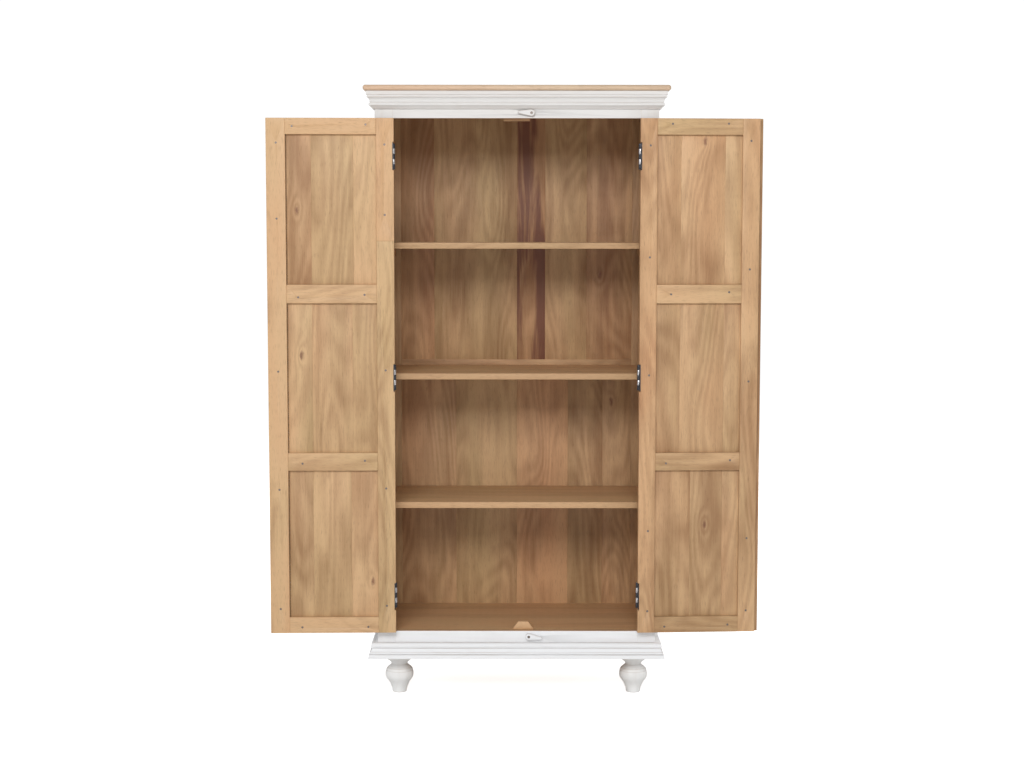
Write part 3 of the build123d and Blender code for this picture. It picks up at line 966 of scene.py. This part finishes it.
# Places on the doors are in millimetres from the hinge pin; the rows run from the lowest panel up.
DOOR_JOINTS = {"left": [(127, 239), (121, 238), (116, 238)], "right": [(152, 247), (118, 247), (118, 247)]}
PANEL_BOARDS = {
    "left": [
        [(0.2, 0, -0.1), (0.38, 0, 0.3), (0.46, 0, 0.1)],
        [(0.26, 0, 0.1), (0.38, 0, 0.1), (0.48, 0, 0.4)],
        [(-0.08, 0, -0.1), (0.50, 0, 0.3), (0.72, 0, 0.1)]],
    "right": [
        [(0.53, 0, 0.0), (0.52, 0.1, 0.2), (0.62, 0, 0.0)],
        [(0.57, 0, -0.1), (0.47, 0, 0.0), (0.55, 0, -0.1)],
        [(0.46, 0.0, -0.2), (0.38, 0, -0.1), (0.30, 0, 0.0)]],
}
PANEL_KNOTS = {
    ("left", 0): {0: (66, 352)}, ("left", 1): {2: (270, 1020)}, ("left", 2): {0: (121, 1556), 2: (280, 1442)},
    ("right", 0): {1: (196, 520)}, ("right", 2): {1: (187, 1640)},
}
FRAME_CHARACTERS = {
    "door_left_inner_hinge_stile": [(0.20, 0, 0.1)],
    "door_left_inner_meeting_stile": [(-0.04, 0, -0.1)],
    "door_left_inner_rails": [(-0.1, 0, 0.1), (-0.05, 0, 0), (0.38, 0, -0.2), (-0.3, 0, 0.0)],
    "door_right_inner_hinge_stile": [(0.40, 0, -0.5)],
    "door_right_inner_meeting_stile": [(0.38, 0, -0.1)],
    "door_right_inner_rails": [(0.72, 0, 0.4), (0.60, 0, 0.3), (0.22, 0, 0.4), (0.26, 0, 0.1)],
}
SPLICES = {"door_left_inner_hinge_stile": (1352 * MM, (0.0, 0, -0.3))}
# The outer layers' bare faces, seen as the right door's lip, are bare wood given a dark tone and some
# heartwood: painted shade for the lip, which lies back in shadow.
OUTER_SHADED_TRAITS = {index: (0.75, 0.2) for index in range(4)}


def from_hinge(side, distance):
    """X of a point of a shut door, from its distance to the hinge pin."""
    hand = -1 if side == "left" else 1
    return hand * (HINGE_X - distance)


def notch_cutters(side):
    """Boxes for the notches round the door leaves of the hinges."""
    edges = sorted(from_hinge(side, edge) for edge in NOTCH_EDGES)
    cutters = []
    for low, high in solids_of(f"hinge_door_leaves_{side}"):
        middle = (low.z + high.z) / 2
        corner = Vector((edges[0], FRONT + NOTCH_DEPTHS[0], middle - NOTCH_HALF))
        far = Vector((edges[1], FRONT + NOTCH_DEPTHS[1], middle + NOTCH_HALF))
        cutters.append(cutter_box(corner, far, SHUT[f"door_{side}"].inverted()))
    return cutters


def lip_cutter():
    """What is planed off the back of the right door's lip, which closes over the left door's tongue."""
    end = from_hinge("right", LIP_END)
    back = HINGE_PIN_Y + LIP_BACK
    low = Vector((end - LIP_WIDTH, back - LIP_RELIEF, LIP_HEIGHTS[0]))
    high = Vector((end, back + 5 * MM, LIP_HEIGHTS[1]))
    return cutter_box(low, high, SHUT["door_right"].inverted())


class ARMOIRE_OT_door_frames(bpy.types.Operator):
    """Make both layers of each door's frame"""

    bl_idname = "armoire.door_frames"
    bl_label = "Door Frames"

    def execute(self, context):
        outside = paint_outside((0, -1, 0))
        for side in SIDES:
            door = f"door_{side}"
            screws = cutter_from(f"{door}_screws")
            outward = SHUT[door].inverted().to_3x3() @ Vector((0, 2 * WELD, 0))
            screws.data.transform(Matrix.Translation(outward))
            edge_screws = cutter_from(f"{door}_hinge_screws")
            panels = cutter_from(f"{door}_panels")
            notches = notch_cutters(side)
            lips = [lip_cutter()] if side == "right" else []
            for part in ("hinge_stile", "meeting_stile", "rails"):
                extra = notches + [edge_screws] if part == "hinge_stile" else []
                relief = lips if part == "meeting_stile" else []
                inner = f"{door}_inner_{part}"
                traits = dict(enumerate(FRAME_CHARACTERS[inner]))
                board_piece(inner, "bare_wood", ["door_wood"], None, [screws] + extra, characters=traits)
                cutters = [screws, panels] + extra + relief
                finish = ("white_paint", ["paint", "door_wood"], outside)
                board_piece(f"{door}_outer_{part}", *finish, cutters, characters=OUTER_SHADED_TRAITS)
            drop([screws, edge_screws, panels] + notches + lips)
        return {"FINISHED"}


class ARMOIRE_OT_door_panels(bpy.types.Operator):
    """Make each door's panels from boards glued side by side"""

    bl_idname = "armoire.door_panels"
    bl_label = "Door Panels"

    def execute(self, context):
        for side in SIDES:
            node = f"door_{side}_panels"
            parts = []
            for row, (low, high) in enumerate(solids_of(node)):
                joints = [from_hinge(side, at * MM) for at in DOOR_JOINTS[side][row]]
                places = PANEL_KNOTS.get((side, row), {})
                knots = {index: (from_hinge(side, at * MM), z * MM) for index, (at, z) in places.items()}
                parts += glued_boards(
                    f"{node}_{row}", f"door_{side}", low, high, joints,
                    PANEL_BOARDS[side][row], knots, reverse=side == "right")
            finish_piece(parts, node, "white_paint", ["paint", "door_wood"], paint_outside((0, -1, 0)))
        return {"FINISHED"}


# ---------------------------------------------------------------- metalwork


HINGE_HALF = 37.5 * MM
KNUCKLE_PITCH = 15 * MM
KNUCKLE_GAP = 0.3 * MM
BARREL = 4.5 * MM
BARREL_SIDES = 40
PIN = 2.3 * MM
LEAF_FACES = (0.6 * MM, 2.6 * MM)
LEAF_DEPTHS = (5 * MM, 24.5 * MM)
WEB_DEPTH = 5.4 * MM
WEB_INSET = 0.5 * MM


def metal_box(low, high, material, ease):
    """A plate with all its edges eased."""
    part = block(low, high)
    ease_edges(part, ease, 2, clamp=True)
    part.data.materials.append(bpy.data.materials[material])
    return part


def metal_rod(centre, radius, length, material, ease):
    """An upright rod with eased rims."""
    select_only()
    bpy.ops.mesh.primitive_cylinder_add(vertices=BARREL_SIDES, radius=radius, depth=length, location=centre)
    rod = bpy.context.object
    settle(rod)
    ease_rims(rod, ease, 2)
    rod.data.materials.append(bpy.data.materials[material])
    return rod


def hinge_half(node, side, own, towards, knuckle_material, screws):
    """The leaves of three hinges: each a drilled plate, joined to its own knuckles."""
    body = BODY_OF[node]
    pin_x = from_hinge(side, 0)
    near, far = sorted(pin_x + towards * face for face in LEAF_FACES)
    parts = []
    for low, high in solids_of(node):
        middle = (low.z + high.z) / 2
        plate_low = Vector((near, HINGE_PIN_Y + LEAF_DEPTHS[0], middle - HINGE_HALF))
        plate_high = Vector((far, HINGE_PIN_Y + LEAF_DEPTHS[1], middle + HINGE_HALF))
        # Both halves' plates take the dark steel: painted shade for the dark stripe beside the barrel.
        plate = metal_box(plate_low, plate_high, "dark_steel_and_shade", 0.35 * MM)
        plate.data.transform(SHUT[body].inverted())
        let_in(plate, [screws])
        plate.data.transform(SHUT[body])
        parts.append(plate)
        for index in own:
            foot = middle - HINGE_HALF + index * KNUCKLE_PITCH + KNUCKLE_GAP / 2
            head = foot + KNUCKLE_PITCH - KNUCKLE_GAP
            web_low = Vector((near, HINGE_PIN_Y, foot + WEB_INSET))
            web_high = Vector((far, HINGE_PIN_Y + WEB_DEPTH, head - WEB_INSET))
            parts.append(metal_box(web_low, web_high, knuckle_material, 0.2 * MM))
            centre = Vector((pin_x, HINGE_PIN_Y, (foot + head) / 2))
            parts.append(metal_rod(centre, BARREL, head - foot, knuckle_material, 0.4 * MM))
    join_metal(parts, node)


def join_metal(parts, node):
    """Join a node's metal parts, which are made in the shut frame and keep their own metals."""
    piece = joined(parts)
    piece.data.transform(SHUT[BODY_OF[node]].inverted())
    hand_over(piece, node)


def hinge_pins():
    """The pins, their rounded ends showing at the top and bottom of each barrel."""
    parts = []
    for low, high in solids_of("hinge_pins"):
        centre = (low + high) / 2
        parts.append(metal_rod(centre, PIN, high.z - low.z, "bright_steel", 0.2 * MM))
    join_metal(parts, "hinge_pins")


class ARMOIRE_OT_hinges(bpy.types.Operator):
    """Make the leaves, knuckles and pins of the six hinges"""

    bl_idname = "armoire.hinges"
    bl_label = "Hinges"

    def execute(self, context):
        frame_screws = cutter_from("frame_hinge_screws")
        for side, hand in zip(SIDES, (-1, 1)):
            door_screws = cutter_from(f"door_{side}_hinge_screws")
            hinge_half(f"hinge_frame_leaves_{side}", side, (0, 2, 4), hand, "dark_steel_and_shade", frame_screws)
            hinge_half(f"hinge_door_leaves_{side}", side, (1, 3), -hand, "bright_steel", door_screws)
            drop([door_screws])
        drop([frame_screws])
        hinge_pins()
        return {"FINISHED"}


# Radius of the shank and height of the cone in millimetres, and where the head faces; a frame hinge's
# screws face the opening.
SCREW_SIDES = 28
SCREWS = {
    "door_left_screws": (1.6, 2.2, (0, 1, 0)), "door_right_screws": (1.6, 2.2, (0, 1, 0)),
    "door_left_hinge_screws": (1.5, 2.0, (-1, 0, 0)), "door_right_hinge_screws": (1.5, 2.0, (1, 0, 0)),
    "frame_hinge_screws": (1.5, 2.0, None), "turn_button_screws": (2.2, 2.0, (0, -1, 0)),
}

SCREW_POINT = 0.2 * MM
POINT_TAPER = 3 * MM
CROSS = (1.3, 0.26)
CROSS_DEPTH = 0.7 * MM


def screw(radius, shank, cone, length, sink):
    """A countersunk screw below its hole's rim: drawn up from its point, with a cross in its head."""
    head = radius - (radius - shank) * sink / cone
    rings = [(SCREW_POINT, -length), (shank, POINT_TAPER - length), (shank, -cone), (head, -sink)]
    piece = turned(SCREW_SIDES, rings)
    for width, breadth in (CROSS, CROSS[::-1]):
        reach = Vector((width * head, breadth * head, CROSS_DEPTH)) / 2
        centre = Vector((0, 0, -sink))
        cutter = cutter_box(centre - reach, centre + reach, Matrix())
        let_in(piece, [cutter])
        drop([cutter])
    piece.data.materials.append(bpy.data.materials["screw_steel"])
    return piece


def driven(master, centre, direction):
    """A copy of a screw with its own mesh, its head at a point and facing a direction."""
    copy = put("screw", master.data.copy())
    copy.data.transform(Vector(direction).to_track_quat("Z", "Y").to_matrix().to_4x4())
    copy.data.transform(Matrix.Translation(centre))
    return copy


class ARMOIRE_OT_screws(bpy.types.Operator):
    """Make the screws of the doors, the hinges and the turn buttons"""

    bl_idname = "armoire.screws"
    bl_label = "Screws"

    def execute(self, context):
        sink = context.scene.armoire_sizes.screw_sink
        for node, (shank, cone, fixed) in SCREWS.items():
            solids = solids_of(node)
            sizes = sorted(solids[0][1] - solids[0][0])
            master = screw(sizes[0] / 2, shank * MM, cone * MM, sizes[2], sink)
            parts = []
            for low, high in solids:
                centre = (low + high) / 2
                direction = Vector(fixed or (1 if centre.x < 0 else -1, 0, 0))
                head = centre + direction * sizes[2] / 2
                parts.append(driven(master, head, direction))
            bpy.data.objects.remove(master)
            join_metal(parts, node)
        return {"FINISHED"}


# X and height of the pivot in millimetres, and the direction of the tip in degrees.
BUTTON_PLACES = {"turn_button_top": (42.4, 1721.5, 177.0), "turn_button_bottom": (36.7, 181.5, -7.0)}
BUTTON_HEAD, BUTTON_TIP, BUTTON_REACH = 10.5, 4.5, 40.0
BUTTON_ROUND = 3.4 * MM
HEAD_STEPS, TIP_STEPS = 28, 12


def button_outline():
    """The teardrop's outline: a large arc, a small arc and the tangents between them."""
    spread = math.acos((BUTTON_HEAD - BUTTON_TIP) / (BUTTON_REACH - BUTTON_TIP))
    points = []
    for step in range(HEAD_STEPS + 1):
        angle = spread + (2 * math.pi - 2 * spread) * step / HEAD_STEPS
        points.append((BUTTON_HEAD * math.cos(angle), BUTTON_HEAD * math.sin(angle)))
    for step in range(TIP_STEPS + 1):
        angle = -spread + 2 * spread * step / TIP_STEPS
        along = BUTTON_REACH - BUTTON_TIP + BUTTON_TIP * math.cos(angle)
        points.append((along, BUTTON_TIP * math.sin(angle)))
    return points


class ARMOIRE_OT_turn_buttons(bpy.types.Operator):
    """Make the two turn buttons"""

    bl_idname = "armoire.turn_buttons"
    bl_label = "Turn Buttons"

    def execute(self, context):
        screws = cutter_from("turn_button_screws")
        outline = button_outline()
        for node, (x, z, angle) in BUTTON_PLACES.items():
            low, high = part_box(node)
            turn = Matrix.Rotation(math.radians(angle), 2)
            centre = Vector((x * MM, z * MM))
            flat = [centre + turn @ (Vector(point) * MM) for point in outline]
            mesh = bpy.data.meshes.new(node)
            mesh.from_pydata([(p.x, high.y, p.y) for p in flat], [], [list(range(len(flat)))])
            piece = put(node, mesh)
            edit(piece)
            bpy.ops.mesh.extrude_region_move(TRANSFORM_OT_translate={"value": (0, low.y - high.y, 0)})
            bpy.ops.mesh.bevel(offset=BUTTON_ROUND, segments=6, affect="EDGES")
            face_outwards()
            let_in(piece, [screws])
            mark(piece, low, high, BODY_OF[node], node)
            finish_piece([piece], node, "white_paint", ["paint"])
        drop([screws])
        return {"FINISHED"}


# ---------------------------------------------------------------- studio


# Name, place, target, width and height in metres, and watts.
LAMPS = [
    ("key", (-0.5, -5.3, 3.6), (0, 0, 0.8), (3.2, 1.8), 196),
    ("low fill", (0.2, -4.6, 0.7), (0, 0, 0.4), (2.4, 0.6), 16),
    ("back fill", (1.0, 5.2, 3.0), (0, 0, 0.9), (3.0, 2.0), 120),
    ("side fill", (-4.6, 1.2, 2.2), (0, 0.1, 0.9), (2.0, 2.0), 34),
    ("side fill", (4.6, 1.2, 2.2), (0, 0.1, 0.9), (2.0, 2.0), 34),
]
ROOM_LIGHT, BACKDROP_LIGHT = 0.33, 1.05
FLOOR_SIZE = 60
CAMERA_X = -0.0112
CAMERA_TURN = (90 - 4.96, -0.04, 0.03)
LENS, SENSOR_WIDTH = 61.35, 36


def area_light(name, place_at, target, size, energy):
    """A soft square light that points at a target."""
    light = bpy.data.lights.new(name, "AREA")
    light.shape = "RECTANGLE"
    light.size, light.size_y = size
    light.energy = energy
    holder = put(name, light)
    holder.location = place_at
    holder.rotation_euler = (Vector(target) - Vector(place_at)).to_track_quat("-Z", "Y").to_euler()


def studio_world():
    """Soft light from all round, with a plain white backdrop for the camera."""
    world = bpy.data.worlds.new("studio")
    world.use_nodes = True
    tree = world.node_tree
    rays = place(tree, "ShaderNodeLightPath").outputs["Is Camera Ray"]
    strength = remap(tree, rays, 0.0, 1.0, ROOM_LIGHT, BACKDROP_LIGHT)
    background = tree.nodes["Background"]
    background.inputs["Color"].default_value = (1, 1, 1, 1)
    tree.links.new(strength, background.inputs["Strength"])
    return world


class ARMOIRE_OT_studio(bpy.types.Operator):
    """Set the floor, the lights and the camera"""

    bl_idname = "armoire.studio"
    bl_label = "Studio"

    def execute(self, context):
        sizes = context.scene.armoire_sizes
        select_only()
        bpy.ops.mesh.primitive_plane_add(size=FLOOR_SIZE)
        floor = context.object
        floor.name = "studio_floor"
        floor.data.materials.append(bpy.data.materials["studio_floor"])
        context.scene.world = studio_world()
        for lamp in LAMPS:
            area_light(*lamp)
        camera_data = bpy.data.cameras.new("camera")
        camera_data.sensor_width = SENSOR_WIDTH
        camera_data.lens = LENS
        camera = put("camera", camera_data)
        camera.location = (CAMERA_X, FRONT - sizes.camera_distance, sizes.camera_height)
        camera.rotation_euler = [math.radians(angle) for angle in CAMERA_TURN]
        context.scene.camera = camera
        context.scene.view_settings.view_transform = "Standard"
        return {"FINISHED"}


class ARMOIRE_PT_panel(bpy.types.Panel):
    """Lists the armoire's pieces and its finish."""

    bl_label = "Armoire"
    bl_idname = "ARMOIRE_PT_panel"
    bl_space_type = "VIEW_3D"
    bl_region_type = "UI"
    bl_category = "Armoire"

    def draw(self, context):
        for group in (context.scene.armoire_sizes, context.scene.armoire_colours):
            for name in group.bl_rna.properties.keys():
                if name not in ("rna_type", "name"):
                    self.layout.prop(group, name)
        for operator in OPERATORS:
            self.layout.operator(operator.bl_idname)


OPERATORS = [
    ARMOIRE_OT_top, ARMOIRE_OT_face_frame, ARMOIRE_OT_sides, ARMOIRE_OT_back, ARMOIRE_OT_shelves,
    ARMOIRE_OT_feet, ARMOIRE_OT_stops, ARMOIRE_OT_door_frames, ARMOIRE_OT_door_panels,
    ARMOIRE_OT_hinges, ARMOIRE_OT_screws, ARMOIRE_OT_turn_buttons, ARMOIRE_OT_studio,
]
CLASSES = [ArmoireSizes, ArmoireColours, *OPERATORS, ARMOIRE_PT_panel]


def register():
    for item in CLASSES:
        bpy.utils.register_class(item)
    bpy.types.Scene.armoire_sizes = bpy.props.PointerProperty(type=ArmoireSizes)
    bpy.types.Scene.armoire_colours = bpy.props.PointerProperty(type=ArmoireColours)


def unregister():
    del bpy.types.Scene.armoire_sizes
    del bpy.types.Scene.armoire_colours
    for item in reversed(CLASSES):
        bpy.utils.unregister_class(item)


def main():
    """Make every piece in order."""
    register()
    make_materials(bpy.context.scene.armoire_colours)
    for operator in OPERATORS:
        group, name = operator.bl_idname.split(".")
        getattr(getattr(bpy.ops, group), name)()


if __name__ == "__main__":
    main()
